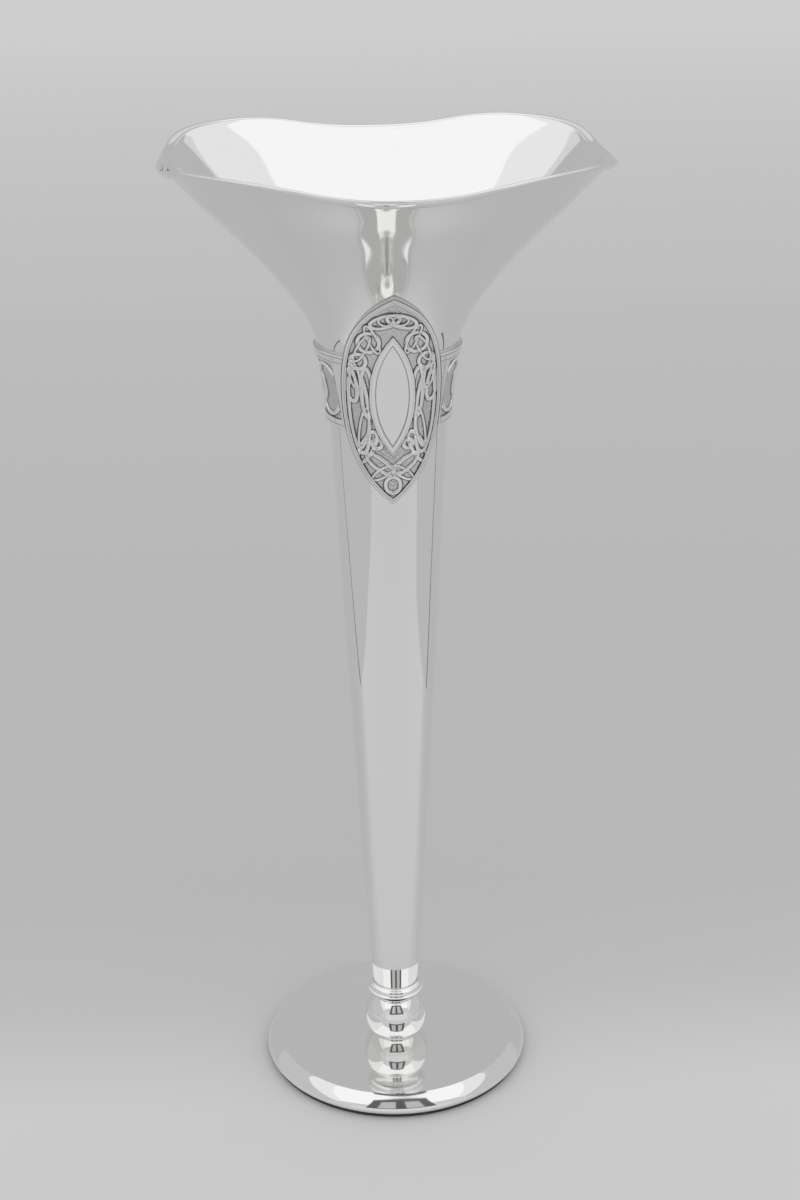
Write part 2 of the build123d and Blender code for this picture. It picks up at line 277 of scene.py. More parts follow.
def half_oval(half, bottom, widest, top, lower, upper):
    """Right side of a pointed oval, from its lower to its upper tip."""
    up = [(half * x, widest + (top - widest) * z) for x, z in upper]
    down = [(half * x, widest - (widest - bottom) * z) for x, z in lower]
    above = bezier([(half, widest), *up, (0, top)])
    below = bezier([(half, widest), *down, (0, bottom)])
    return np.vstack([below[::-1], above[1:]])


def line_distance(x, z, line):
    """Distance from each point to the nearest stretch of a line."""
    best = np.full(x.shape, 1e9)
    for start, end in zip(line[:-1], line[1:]):
        run = end - start
        long = max(run @ run, 1e-12)
        share = np.clip(((x - start[0]) * run[0] + (z - start[1]) * run[1]) / long, 0, 1)
        away_x, away_z = x - start[0] - share * run[0], z - start[1] - share * run[1]
        best = np.minimum(best, np.hypot(away_x, away_z))
    return best


# Meshes


def new_object(name, mesh):
    """Adds a mesh to the scene."""
    piece = bpy.data.objects.new(name, mesh)
    bpy.context.scene.collection.objects.link(piece)
    return piece


def mesh_from_grid(name, grid, wrap_rows=False, oxide_and_shade=None):
    """Mesh of quads over rows of points in millimetres, each row closed to a ring.

    The darkness of each point, from 0 to 1, is kept with the mesh for the material; it is oxide on
    the low ground and painted shade beside raised edges and in grooves."""
    rows, columns = grid.shape[:2]
    number = np.arange(rows * columns).reshape(rows, columns)
    row, row_next = number, np.roll(number, -1, axis=0)
    if not wrap_rows:
        row, row_next = row[:-1], row_next[:-1]
    corners = row, np.roll(row, -1, axis=1), np.roll(row_next, -1, axis=1), row_next
    faces = np.stack([corner.ravel() for corner in corners], axis=1)
    mesh = bpy.data.meshes.new(name)
    mesh.from_pydata((grid.reshape(-1, 3) * MM).tolist(), [], faces.tolist())
    if oxide_and_shade is not None:
        layer = mesh.color_attributes.new("oxide_and_shade", "FLOAT_COLOR", "POINT")
        value = np.repeat(oxide_and_shade.ravel()[:, None], 4, axis=1)
        value[:, 3] = 1
        layer.data.foreach_set("color", value.astype(np.float32).ravel())
    return mesh


def close_up(mesh):
    """Merges points that coincide, points all faces outwards and smooths them."""
    work = bmesh.new()
    work.from_mesh(mesh)
    bmesh.ops.remove_doubles(work, verts=work.verts, dist=WELD)
    bmesh.ops.dissolve_degenerate(work, edges=work.edges, dist=WELD / 10)
    bmesh.ops.recalc_face_normals(work, faces=work.faces)
    work.to_mesh(mesh)
    work.free()
    mesh.polygons.foreach_set("use_smooth", [True] * len(mesh.polygons))
    mesh.update()


def finish_piece(name, mesh, material, nodes, sharp=None):
    """Gives the piece its material, its body and the CAD nodes it stands for."""
    close_up(mesh)
    if sharp is not None:
        mesh.set_sharp_from_angle(angle=math.radians(sharp))
    piece = new_object(name, mesh)
    piece.data.materials.append(material)
    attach(piece, "root")
    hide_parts(*nodes)
    return piece


def lathe(profile, segments):
    """Grid of points of a profile of radius and height, turned about Z."""
    profile = np.array(profile, float)
    angle = np.linspace(0, 2 * math.pi, segments, endpoint=False)
    radius = profile[:, :1]
    return np.stack([
        radius * np.cos(angle), radius * np.sin(angle), profile[:, 1:] * np.ones(segments),
    ], axis=2)


# Materials

SILVER_COLOUR = (0.93, 0.93, 0.925, 1)
# Colour of the recesses: oxide with painted shade
OXIDE_AND_SHADE_COLOUR = (0.16, 0.16, 0.155, 1)
# Felt colours, near-black so the pad's edge gives a painted shadow line under the foot
FELT_AND_SHADOW_COLOURS = (0.015, 0.015, 0.016, 1), (0.06, 0.06, 0.062, 1)
HAZE_SCALE, WAVER_SCALE, CAST_GRAIN_SCALE, FELT_FIBRE_SCALE = 90, 28, 2600, 900
# Ranges of the haze and of the roughness it sets; strength and metres of each relief
HAZE_SPREAD = 0.35, 0.7
POLISH_ROUGHNESS = 0.035, 0.075
CAST_ROUGHNESS = 0.09, 0.42
WAVER_RELIEF = 0.12, 0.0004
CAST_RELIEF = 0.25, 0.00008
FELT_RELIEF = 0.6, 0.0003


def material(name):
    """New material with its nodes, links and main shader."""
    made = bpy.data.materials.new(name)
    made.use_nodes = True
    nodes = made.node_tree.nodes
    return made, nodes, made.node_tree.links, nodes["Principled BSDF"]


def noise(nodes, links, scale, detail=3.0):
    """Noise over the object's own coordinates."""
    coords = nodes.new("ShaderNodeTexCoord")
    texture = nodes.new("ShaderNodeTexNoise")
    texture.inputs["Scale"].default_value = scale
    texture.inputs["Detail"].default_value = detail
    links.new(coords.outputs["Object"], texture.inputs["Vector"])
    return texture.outputs["Fac"]


def remap(nodes, links, source, low, high, to_low, to_high):
    """Spreads a range of values over another."""
    spread = nodes.new("ShaderNodeMapRange")
    spread.inputs["From Min"].default_value = low
    spread.inputs["From Max"].default_value = high
    spread.inputs["To Min"].default_value = to_low
    spread.inputs["To Max"].default_value = to_high
    links.new(source, spread.inputs["Value"])
    return spread.outputs["Result"]


def bump(nodes, links, height, strength, distance):
    """Slight relief; the distance is in metres."""
    made = nodes.new("ShaderNodeBump")
    made.inputs["Strength"].default_value = strength
    made.inputs["Distance"].default_value = distance
    links.new(height, made.inputs["Height"])
    return made.outputs["Normal"]


def two_colours(nodes, links, source, low, high):
    """Ramp from one colour to another."""
    ramp = nodes.new("ShaderNodeValToRGB")
    ramp.color_ramp.elements[0].color = low
    ramp.color_ramp.elements[1].color = high
    links.new(source, ramp.inputs["Fac"])
    return ramp.outputs["Color"]


def polished_silver():
    """Mirror polish with a light haze and the slight waver of hand work."""
    made, nodes, links, shader = material("polished_silver")
    shader.inputs["Base Color"].default_value = SILVER_COLOUR
    shader.inputs["Metallic"].default_value = 1
    haze = noise(nodes, links, HAZE_SCALE)
    roughness = remap(nodes, links, haze, *HAZE_SPREAD, *POLISH_ROUGHNESS)
    links.new(roughness, shader.inputs["Roughness"])
    waver = noise(nodes, links, WAVER_SCALE, 1.0)
    links.new(bump(nodes, links, waver, *WAVER_RELIEF), shader.inputs["Normal"])
    return made


def cast_silver():
    """Silver that is bright on its high parts, dark and rougher in its recesses: oxide with painted
    shade on the low ground, painted shade beside raised edges and in grooves.
    """
    made, nodes, links, shader = material("cast_silver")
    shader.inputs["Metallic"].default_value = 1
    layer = nodes.new("ShaderNodeVertexColor")
    layer.layer_name = "oxide_and_shade"
    oxide_and_shade = layer.outputs["Color"]
    colour = two_colours(nodes, links, oxide_and_shade, SILVER_COLOUR, OXIDE_AND_SHADE_COLOUR)
    links.new(colour, shader.inputs["Base Color"])
    links.new(remap(nodes, links, oxide_and_shade, 0, 1, *CAST_ROUGHNESS), shader.inputs["Roughness"])
    grain = noise(nodes, links, CAST_GRAIN_SCALE, 2.0)
    links.new(bump(nodes, links, grain, *CAST_RELIEF), shader.inputs["Normal"])
    return made


def felt():
    """Dark matt fibre, its near-black also standing in as painted shadow in the gap under the
    foot's edge.
    """
    made, nodes, links, shader = material("felt")
    fibre = noise(nodes, links, FELT_FIBRE_SCALE, 6.0)
    links.new(two_colours(nodes, links, fibre, *FELT_AND_SHADOW_COLOURS), shader.inputs["Base Color"])
    shader.inputs["Roughness"].default_value = 0.95
    links.new(bump(nodes, links, fibre, *FELT_RELIEF), shader.inputs["Normal"])
    return made


SILVER = polished_silver()
CAST = cast_silver()
FELT_AND_SHADOW = felt()


# Body


def rounded_top(outer, inner, top, fillet, steps=9):
    """Points over an edge from outside to inside, as radius and height."""
    middle, half = (outer + inner) / 2, (outer - inner) / 2
    turn = np.linspace(0, math.pi, steps)[:, None]
    return middle + half * np.cos(turn), top - fillet + fillet * np.sin(turn)


def build_bowl():
    """Bowl sheet, its waved lip rounded over."""
    columns, rows = 320, 90
    angle = np.linspace(0, 2 * math.pi, columns, endpoint=False)
    lip = lip_height(angle)
    share = np.linspace(0, 1, rows)[:, None]
    height = THROAT + share * (lip - LIP_ROUNDING - THROAT)
    outer = radius_at(height)
    inner = radius_at(height, -SHEET)
    cap_r, cap_z = rounded_top(outer[-1], inner[-1], lip, LIP_ROUNDING)
    radius = np.vstack([outer, cap_r[1:-1], inner[::-1]])
    z = np.vstack([height, cap_z[1:-1], height[::-1]])
    grid = np.stack([radius * np.cos(angle), radius * np.sin(angle), z], axis=2)
    mesh = mesh_from_grid("bowl_sheet", grid, wrap_rows=True)
    return finish_piece("bowl_sheet", mesh, SILVER, ["bowl"], sharp=60)


def build_stem():
    """Tapering tube of the stem."""
    rows = 140
    height = np.linspace(STEM_BOTTOM, THROAT, rows)
    outer = np.stack([radius_at(height), height], axis=1)
    inner = np.stack([radius_at(height, -SHEET), height], axis=1)
    grid = lathe(np.vstack([outer, inner[::-1]]), STEM_FACES)
    mesh = mesh_from_grid("stem_sheet", grid, wrap_rows=True)
    return finish_piece("stem_sheet", mesh, SILVER, ["stem_tube"], sharp=60)


def build_rim():
    """Wire of a squared oval section that follows the lip."""
    columns, around = 960, 40
    angle = np.linspace(0, 2 * math.pi, columns, endpoint=False)
    lip = lip_height(angle)
    turn = np.linspace(0, 2 * math.pi, around, endpoint=False)[:, None]
    across = np.sign(np.cos(turn)) * np.abs(np.cos(turn)) ** (2 / WIRE_SQUARENESS)
    up = np.sign(np.sin(turn)) * np.abs(np.sin(turn)) ** (2 / WIRE_SQUARENESS)
    out = (FILM + WIRE_THICK) / 2 + across * (WIRE_THICK - FILM) / 2
    z = lip + (WIRE_STAND - WIRE_DROP) / 2 + up * (WIRE_STAND + WIRE_DROP) / 2
    radius = radius_at(z, out)
    grid = np.stack([radius * np.cos(angle), radius * np.sin(angle), z], axis=2)
    mesh = mesh_from_grid("rim_moulding", grid, wrap_rows=True)
    return finish_piece("rim_moulding", mesh, SILVER, ["rim_wire"])


# Cast relief


class Loop:
    """One closed oval strap of an interlace."""

    def __init__(self, x, z, run, rise, tilt=0.0, width=STRAP):
        self.x, self.z, self.run, self.rise, self.width = x, z, run, rise, width
        self.cos, self.sin = math.cos(math.radians(tilt)), math.sin(math.radians(tilt))
        self.under = []

    def local(self, x, z):
        """Place in the loop's own frame, where the loop is the unit circle."""
        dx, dz = x - self.x, z - self.z
        across = (dx * self.cos + dz * self.sin) / self.run
        up = (dz * self.cos - dx * self.sin) / self.rise
        return across, up

    def level(self, x, z):
        """Below 1 inside the loop and above 1 outside it."""
        return np.hypot(*self.local(x, z))

    def distance(self, x, z):
        """Distance to the middle line of the strap, near enough close to it."""
        across, up = self.local(x, z)
        level = np.maximum(np.hypot(across, up), 1e-6)
        steep = np.maximum(np.hypot(across / self.run, up / self.rise) / level, 1e-6)
        return np.abs(level - 1) / steep

    def line(self):
        """Points along the middle line of the strap."""
        turn = np.linspace(0, 2 * math.pi, LOOP_POINTS, endpoint=False)
        across, up = self.run * np.cos(turn), self.rise * np.sin(turn)
        x = self.x + across * self.cos - up * self.sin
        z = self.z + across * self.sin + up * self.cos
        return x, z


def weave(loops):
    """Lets each strap pass over and under the others in turn.

    A crossing is where a strap's line enters or leaves another loop. Each one is
    followed along both of its straps, and the next one there is the other way."""
    crossings = []
    on_loop = [[] for _ in loops]
    for i, one in enumerate(loops):
        x, z = one.line()
        for j, other in enumerate(loops):
            if j <= i:
                continue
            side = other.level(x, z) > 1
            for k in np.nonzero(side != np.roll(side, -1))[0]:
                across, up = other.local(x[k], z[k])
                turn = math.atan2(up, across) % (2 * math.pi)
                on_loop[i].append((k, len(crossings)))
                on_loop[j].append((turn * LOOP_POINTS / (2 * math.pi), len(crossings)))
                crossings.append({"at": (x[k], z[k]), "pair": (i, j), "over": None})
    for order in on_loop:
        order.sort()
    for start in range(len(crossings)):
        if crossings[start]["over"] is not None:
            continue
        crossings[start]["over"] = crossings[start]["pair"][0]
        waiting = [start]
        while waiting:
            here = waiting.pop()
            for loop in crossings[here]["pair"]:
                order = [c for _, c in on_loop[loop]]
                over_here = crossings[here]["over"] == loop
                for step in (-1, 1):
                    near = order[(order.index(here) + step) % len(order)]
                    if crossings[near]["over"] is None:
                        a, b = crossings[near]["pair"]
                        rival = b if a == loop else a
                        crossings[near]["over"] = rival if over_here else loop
                        waiting.append(near)
    for crossing in crossings:
        a, b = crossing["pair"]
        lower = b if crossing["over"] == a else a
        loops[lower].under.append(crossing["at"])


def strap_height(loops, x, z):
    """Height of the straps over the ground, woven, and the painted shade lines at their feet."""
    flatness, crown = 4, 0.6
    dip_reach, dip_run = 1.55, 0.95
    line_offset, line_run = 0.08, 0.26
    hidden_share, hidden_rate = 0.8, 1.6
    best = np.zeros(x.shape)
    line = np.zeros(x.shape)
    for loop in loops:
        distance = loop.distance(x, z)
        dome = np.clip(1 - (distance / (loop.width / 2)) ** flatness, 0, 1) ** crown
        dip = np.zeros(x.shape)
        for cx, cz in loop.under:
            dip = np.maximum(dip, smooth(dip_reach - np.hypot(x - cx, z - cz) / dip_run))
        # painted shade: a dark line along the foot of each strap, dropped where another strap lies
        # over it
        beside = smooth(1 - np.abs(distance - loop.width / 2 - line_offset) / line_run)
        height = dome * (1 - STRAP_DIP * dip)
        line = np.where(height > best, line * (1 - dome), line)
        hidden = hidden_share * smooth(best * hidden_rate)
        line = np.maximum(line, beside * (1 - hidden))
        best = np.maximum(best, height)
    return best, line


def cell_noise(x, z, size, seed):
    """Repeatable value between 0 and 1 that varies smoothly from cell to cell."""
    def value(i, j):
        return np.modf(np.abs(np.sin(i * 127.1 + j * 311.7 + seed * 74.7) * 43758.5453))[0]
    u, v = x / size, z / size
    i, j = np.floor(u), np.floor(v)
    s, t = smooth(u - i), smooth(v - j)
    low = value(i, j) * (1 - s) + value(i + 1, j) * s
    high = value(i, j + 1) * (1 - s) + value(i + 1, j + 1) * s
    return low * (1 - t) + high * t


def stipple(x, z):
    """Small pits and grains of the matted ground."""
    coarse_height, coarse_size = 0.10, 0.42
    fine_height, fine_size = 0.05, 0.23
    coarse = coarse_height * cell_noise(x, z, coarse_size, 1)
    return coarse + fine_height * cell_noise(x, z, fine_size, 2)


def edge_step(distance, run=0.3):
    """Rises from 0 to 1 over a short rounded edge."""
    return np.sqrt(np.clip(1 - (1 - np.clip(distance / run, 0, 1)) ** 2, 0, 1))


def plaque_loops():
    """Woven loops of a plaque: each row of shares on both sides, and the drop below."""
    height = PLAQUE_TOP - PLAQUE_BOTTOM

    def loop(x, z, run, rise, tilt=0.0, width=STRAP):
        return Loop(x * PLAQUE_HALF, PLAQUE_BOTTOM + z * height,
                    run * PLAQUE_HALF, rise * PLAQUE_HALF, tilt, width)

    loops = []
    for side in (-1, 1):
        for table, width in ((PLAQUE_LOOPS, STRAP), (THREADED_LOOPS, THREAD_STRAP)):
            for x, z, run, rise, tilt in table:
                loops.append(loop(side * x, z, run, rise, side * tilt, width))
    loops.append(loop(*DROP_LOOP))
    weave(loops)
    return loops


def relief(x, z, border, reserve, loops):
    """Height over the body and darkness of each point of a casting: oxide with painted shade on the
    low ground, and painted shade lines at the foot of the raised border, oval rim and straps.

    border is the distance in from the raised border's inner edge, and reserve
    the distance out from the bare oval, which is negative on the oval."""
    step = RELIEF_TOP - GROUND
    ground_run, rim_run, rim_reach = 0.4, 0.25, 0.3
    line_offset, line_run = 0.12, 0.3
    straps, line = strap_height(loops, x, z)
    ground = stipple(x, z) * smooth(border / ground_run)
    height = np.maximum(ground, straps * step)
    rim = 1 - edge_step(border, rim_run)
    if reserve is not None:
        rim = np.maximum(rim, np.where(reserve < rim_reach, 1 - edge_step(reserve, rim_run), 0))
        # painted shade line at the foot of the oval's raised rim
        line = np.maximum(line, smooth(1 - np.abs(reserve - line_offset) / line_run))
    # painted shade line at the foot of the raised border
    line = np.maximum(line, smooth(1 - np.abs(border - line_offset) / line_run))
    height = np.maximum(height, step * rim)
    outside = (border < 0) if reserve is None else (border < 0) | (reserve < 0)
    # the low ground is darker the deeper it lies: oxide with painted shade
    oxide_and_shade_level = GROUND_OXIDE_AND_SHADE * np.clip(1 - height / (0.5 * step), 0, 1)
    oxide_and_shade_level = np.maximum(oxide_and_shade_level, np.where(outside, 0, line))
    return GROUND + height, oxide_and_shade_level


def plaque_outline():
    """Right side of a plaque, from its lower to its upper tip."""
    heights = PLAQUE_BOTTOM, PLAQUE_WIDEST, PLAQUE_TOP
    return half_oval(PLAQUE_HALF, *heights, OVAL_BOTTOM, OVAL_TOP)


def plaque_grid(facing):
    """Rows of points over a plaque's front and back, and how dark each is painted with oxide and
    shade.
    """
    rows, columns, back_columns = 560, 260, 16
    outline = plaque_outline()
    heights = RESERVE_BOTTOM, (RESERVE_BOTTOM + RESERVE_TOP) / 2, RESERVE_TOP
    reserve_line = half_oval(RESERVE_HALF, *heights, OVAL_EVEN, OVAL_EVEN)
    z_rows = PLAQUE_BOTTOM + (PLAQUE_TOP - PLAQUE_BOTTOM) * np.linspace(0, 1, rows)
    half = np.interp(z_rows, outline[:, 1], outline[:, 0])
    half[0] = half[-1] = 0
    share = np.linspace(-1, 1, columns)
    x = half[:, None] * share
    z = z_rows[:, None] * np.ones(columns)
    inside = line_distance(np.abs(x), z, outline)
    oval_half = np.interp(z, reserve_line[:, 1], reserve_line[:, 0], left=0, right=0)
    in_oval = (np.abs(x) < oval_half) & (z > RESERVE_BOTTOM) & (z < RESERVE_TOP)
    to_oval = line_distance(np.abs(x), z, reserve_line) * np.where(in_oval, -1, 1)
    height, oxide_and_shade_level = relief(x, z, inside - PLAQUE_BORDER, to_oval, plaque_loops())
    # the bare oval lies a little lower than its own border
    bare = edge_step(-to_oval - RESERVE_BORDER, 0.3)
    height = height - RESERVE_SINK * bare
    # fine lines cut along the borders, each also darkened with painted shade: the distance to each
    # line and its strength
    for distance, strength in (
        (inside - PLAQUE_BORDER + 0.5, 0.45), (inside - 0.1, 0.8),
        (to_oval + RESERVE_BORDER, 0.9), (to_oval + 0.5, 0.25),
    ):
        line = smooth(1 - np.abs(distance) / GROOVE_HALF)
        height = height - GROOVE_DEPTH * strength * line
        oxide_and_shade_level = np.maximum(oxide_and_shade_level, strength * line)
    # rounded outer edge
    height = height - OUTER_ROUNDING * (1 - edge_step(inside, OUTER_RUN))
    top = np.stack([x, -np.sqrt(radius_at(z, height) ** 2 - x ** 2), z], axis=2)
    back_share = np.linspace(1, -1, back_columns)
    bx = half[:, None] * back_share
    bz = z_rows[:, None] * np.ones(back_columns)
    back = np.stack([bx, -np.sqrt(radius_at(bz, FILM) ** 2 - bx ** 2), bz], axis=2)
    grid = np.concatenate([top, back], axis=1)
    oxide_and_shade = np.concatenate([oxide_and_shade_level, np.zeros(bx.shape)], axis=1)
    if facing < 0:
        grid = grid * np.array([-1, -1, 1])
    return grid, oxide_and_shade


def build_plaque(name, node, facing):
    """Plaque on the front, or on the back where facing is -1."""
    grid, oxide_and_shade = plaque_grid(facing)
    mesh = mesh_from_grid(name, grid, oxide_and_shade=oxide_and_shade)
    return finish_piece(name, mesh, CAST, [node], sharp=50)


def build_band(name, node, facing):
    """Band from plaque to plaque; its own front is the X axis."""
    rows, columns, back_columns = 150, 260, 20
    outline = plaque_outline()
    z_rows = np.linspace(BAND_BOTTOM, BAND_TOP, rows)
    oval = np.interp(z_rows, outline[:, 1], outline[:, 0])

    def side(shares, out):
        """Angle, radius and height of each point between the plaques."""
        z = z_rows[:, None] * np.ones(len(shares))
        radius = radius_at(z, out)
        end = np.arccos(np.clip(oval[:, None] / radius, 0, 1))
        return end * shares, radius, z

    shares = np.linspace(-1, 1, columns)
    angle, radius, z = side(shares, RELIEF_TOP)
    y = radius * np.sin(angle)
    field_low, field_high = BAND_BOTTOM + BAND_BOTTOM_BORDER, BAND_TOP - BAND_TOP_BORDER
    tall = field_high - field_low
    loops = [
        Loop(cx * BAND_FIELD_HALF, field_low + cz * tall, run * BAND_FIELD_HALF, rise * tall)
        for cx, cz, run, rise in BAND_LOOPS
    ]
    weave(loops)
    border = np.minimum(np.minimum(z - field_low, field_high - z), BAND_FIELD_HALF - np.abs(y))
    height, oxide_and_shade_level = relief(y, z, border, None, loops)
    grooves = [BAND_TOP - down for down in (0.1, 1.0, 2.6)]
    grooves += [BAND_BOTTOM + up for up in (0.9, 0.1)]
    for level in grooves:
        line = smooth(1 - np.abs(z - level) / BAND_GROOVE_HALF)
        height = height - BAND_GROOVE_DEPTH * line
        # painted shade in each groove
        oxide_and_shade_level = np.maximum(oxide_and_shade_level, BAND_GROOVE_SHADE * line)
    edge = np.minimum(z - BAND_BOTTOM, BAND_TOP - z)
    height = height - BAND_SINK - OUTER_ROUNDING * (1 - edge_step(edge, OUTER_RUN))
    radius = radius_at(z, height)
    top = np.stack([radius * np.cos(angle), radius * np.sin(angle), z], axis=2)
    back_angle, back_radius, back_z = side(np.linspace(1, -1, back_columns), FILM)
    back_x, back_y = back_radius * np.cos(back_angle), back_radius * np.sin(back_angle)
    back = np.stack([back_x, back_y, back_z], axis=2)
    grid = np.concatenate([top, back], axis=1)
    oxide_and_shade = np.concatenate([oxide_and_shade_level, np.zeros(back_z.shape)], axis=1)
    if facing < 0:
        grid = grid * np.array([-1, -1, 1])
    mesh = mesh_from_grid(name, grid, oxide_and_shade=oxide_and_shade)
    close_ends(mesh)
    return finish_piece(name, mesh, CAST, [node], sharp=50)


def close_ends(mesh):
    """Fills the open top and bottom loops of a band."""
    work = bmesh.new()
    work.from_mesh(mesh)
    open_edges = [e for e in work.edges if e.is_boundary]
    bmesh.ops.holes_fill(work, edges=open_edges, sides=0)
    bmesh.ops.triangulate(work, faces=[f for f in work.faces if len(f.verts) > 4])
    work.to_mesh(mesh)
    work.free()


# Collar, knop and foot


def hermite(start, start_pull, end, end_pull, count):
    """Curve between two points that leaves and arrives along the two pulls."""
    ends = (start, start_pull, end, end_pull)
    start, start_pull, end, end_pull = (np.array(value, float) for value in ends)
    s = np.linspace(0, 1, count)[:, None]
    return ((2 * s ** 3 - 3 * s ** 2 + 1) * start + (s ** 3 - 2 * s ** 2 + s) * start_pull
            + (3 * s ** 2 - 2 * s ** 3) * end + (s ** 3 - s ** 2) * end_pull)


def build_collar():
    """Collar with a hollow neck, a round ring and a thin lip round the stem."""
    first_height, first_width = STEM_SHARES[1]
    spread = (THROAT_RADIUS - STEM_RADIUS) * first_width / ((THROAT - STEM_BOTTOM) * first_height)
    socket = STEM_RADIUS + FILM
    socket_top = socket + COLLAR_SOCKET * spread
    shoulder = socket_top + COLLAR_LIP
    ring_top = STEM_BOTTOM + COLLAR_SOCKET - COLLAR_LIP / 2
    ring_low = ring_top - COLLAR_RING_RISE
    ring_middle = (ring_top + ring_low) / 2
    reach = COLLAR_RING - shoulder
    turn = np.linspace(-math.pi / 2, math.pi / 2, 40)
    ring = np.stack([
        shoulder + reach * np.cos(turn), ring_middle + COLLAR_RING_RISE / 2 * np.sin(turn),
    ], axis=1)
    neck_pull, shoulder_pull = (0, 1.6), (5, 0)
    neck = hermite((COLLAR_NECK, KNOP_TOP), neck_pull, (shoulder, ring_low), shoulder_pull, 24)
    lip_end = (socket_top, ring_top + COLLAR_LIP / 2)
    lip = hermite((shoulder, ring_top), (-0.3, 0), lip_end, (-0.1, 0.3), 6)
    bore_top = KNOP_TOP + COLLAR_BORE
    profile = np.vstack([
        [(0, bore_top), (STUD_HOLE, bore_top), (STUD_HOLE, KNOP_TOP)], neck, ring[1:], lip[1:],
        [(socket_top, STEM_BOTTOM + COLLAR_SOCKET - FILM), (socket, STEM_BOTTOM), (0, STEM_BOTTOM)],
    ])
    mesh = mesh_from_grid("collar_turned", lathe(profile, COLLAR_FACES))
    return finish_piece("collar_turned", mesh, SILVER, ["collar"], sharp=35)


def build_knop_half(name, node, end):
    """Half of the hollow ball, between its equator and the flat at a height."""
    skins = []
    for radius in (KNOP_RADIUS, KNOP_RADIUS - KNOP_SHEET):
        limit = min(abs(end - KNOP_CENTRE), math.sqrt(radius ** 2 - STUD_HOLE ** 2))
        turn = np.linspace(0, math.copysign(math.asin(limit / radius), end - KNOP_CENTRE), 80)
        skin = np.stack([radius * np.cos(turn), KNOP_CENTRE + radius * np.sin(turn)], axis=1)
        skins.append(skin)
    outer, inner = skins
    hole = [(STUD_HOLE, end), (STUD_HOLE, inner[-1, 1])]
    profile = np.vstack([outer, hole, inner[::-1]])
    mesh = mesh_from_grid(name, lathe(profile, KNOP_FACES), wrap_rows=True)
    return finish_piece(name, mesh, SILVER, [node], sharp=40)


def foot_edge(inset):
    """Rounded edge of the foot from its crease to its lip, drawn in by an inset."""
    radius, height = FOOT_CREASE
    crease, widest = (radius, height - inset), (FOOT_RADIUS - inset, FOOT_WIDEST)
    lip_end = (FOOT_LIP[0] - inset, FOOT_LIP[1])
    crease_pull = (
        FOOT_EDGE_PULL * math.cos(FOOT_CREASE_TILT), -FOOT_EDGE_PULL * math.sin(FOOT_CREASE_TILT),
    )
    edge = hermite(crease, crease_pull, widest, (0, -FOOT_EDGE_PULL), 110)
    lip = hermite(widest, (0, -1.8), lip_end, (-1.4, -1.2), 16)
    return np.vstack([edge, lip[1:]])


def build_foot():
    """Foot sheet: flat seat under the ball, straight dish and rolled edge."""
    seat_radius = math.sqrt(KNOP_RADIUS ** 2 - (KNOP_CENTRE - FOOT_SEAT) ** 2)
    share = np.linspace(0, 1, 40)[:, None]
    seat = np.array([seat_radius, FOOT_SEAT])
    top = seat + share * (np.array(FOOT_CREASE) - seat)
    outer = np.vstack([[(STUD_HOLE, FOOT_SEAT)], top, foot_edge(0)[1:]])
    under_seat = [seat - (0, FOOT_SHEET), (STUD_HOLE, FOOT_SEAT - FOOT_SHEET)]
    inner = np.vstack([foot_edge(FOOT_SHEET)[::-1], under_seat])
    profile = np.vstack([outer, inner])
    mesh = mesh_from_grid("foot_spun", lathe(profile, FOOT_FACES), wrap_rows=True)
    return finish_piece("foot_spun", mesh, SILVER, ["foot_shell"], sharp=12)


def build_pad():
    """Felt disc under the foot, its edge rounded; its near-black edge is painted shadow under the
    foot's rim.
    """
    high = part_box("base_pad")[1]
    radius, thick = high.x / MM, high.z / MM
    turn = np.linspace(-math.pi / 2, math.pi / 2, 9)
    side = np.stack([
        radius - PAD_ROUNDING + PAD_ROUNDING * np.cos(turn), thick / 2 + (thick / 2) * np.sin(turn),
    ], axis=1)
    profile = np.vstack([[(0, 0)], side, [(0, thick)]])
    mesh = mesh_from_grid("felt_pad", lathe(profile, PAD_FACES))
    return finish_piece("felt_pad", mesh, FELT_AND_SHADOW, ["base_pad"], sharp=60)


# Light tent: cards that only reflections see, in metres and from 0, black, to 1, white

TENT_TOP = 1.3
TENT_SIDE = 2.2
TENT_NEAR, TENT_WIDE_NEAR = -1.25, 1.6
TENT_FAR, TENT_WIDE_FAR = 1.05, 0.42
LOW_CARD_AT = -0.62
WINDOW_AT = -0.3
WINDOW_LAYER = 0.005
WALL_SPLIT = 0.73
PATCH_HEIGHT = 0.0003
CORD_HEIGHT = 0.0005
CEILING_LEVEL = 0.98
FRONT_LEVEL = 0.62
SHADE_LEVEL = 0.50
CORD_LEVEL = 0.11
# Lower and upper levels of the walls
LEFT_LEVELS = 0.55, 0.84
RIGHT_LEVELS = 0.55, 0.82
BACK_LEVELS = 0.485, 0.68
# Half azimuth, lower and upper elevation in degrees, and level
LOW_CARD = 40, 0, 27, 0.70
WINDOW_CARDS = (
    ("tent_opening", (28, 23, 56, 0.12)),
    ("tent_window", (19, 27.5, 52, 0.50)),
    ("tent_stand", (4.5, 27, 52.5, 0.10)),
)
# Centre, radii, width and level
SEAM = (-0.17, -0.225, TENT_TOP - 0.01), (0.2, 0.028), 0.012, 0.74
# Ends and width
CORD_LEFT = (-0.265, 0.02), (-0.9, 0.6), 0.009
CORD_RIGHT = (0.2585, 0.058), (1.3, 0.40), 0.014

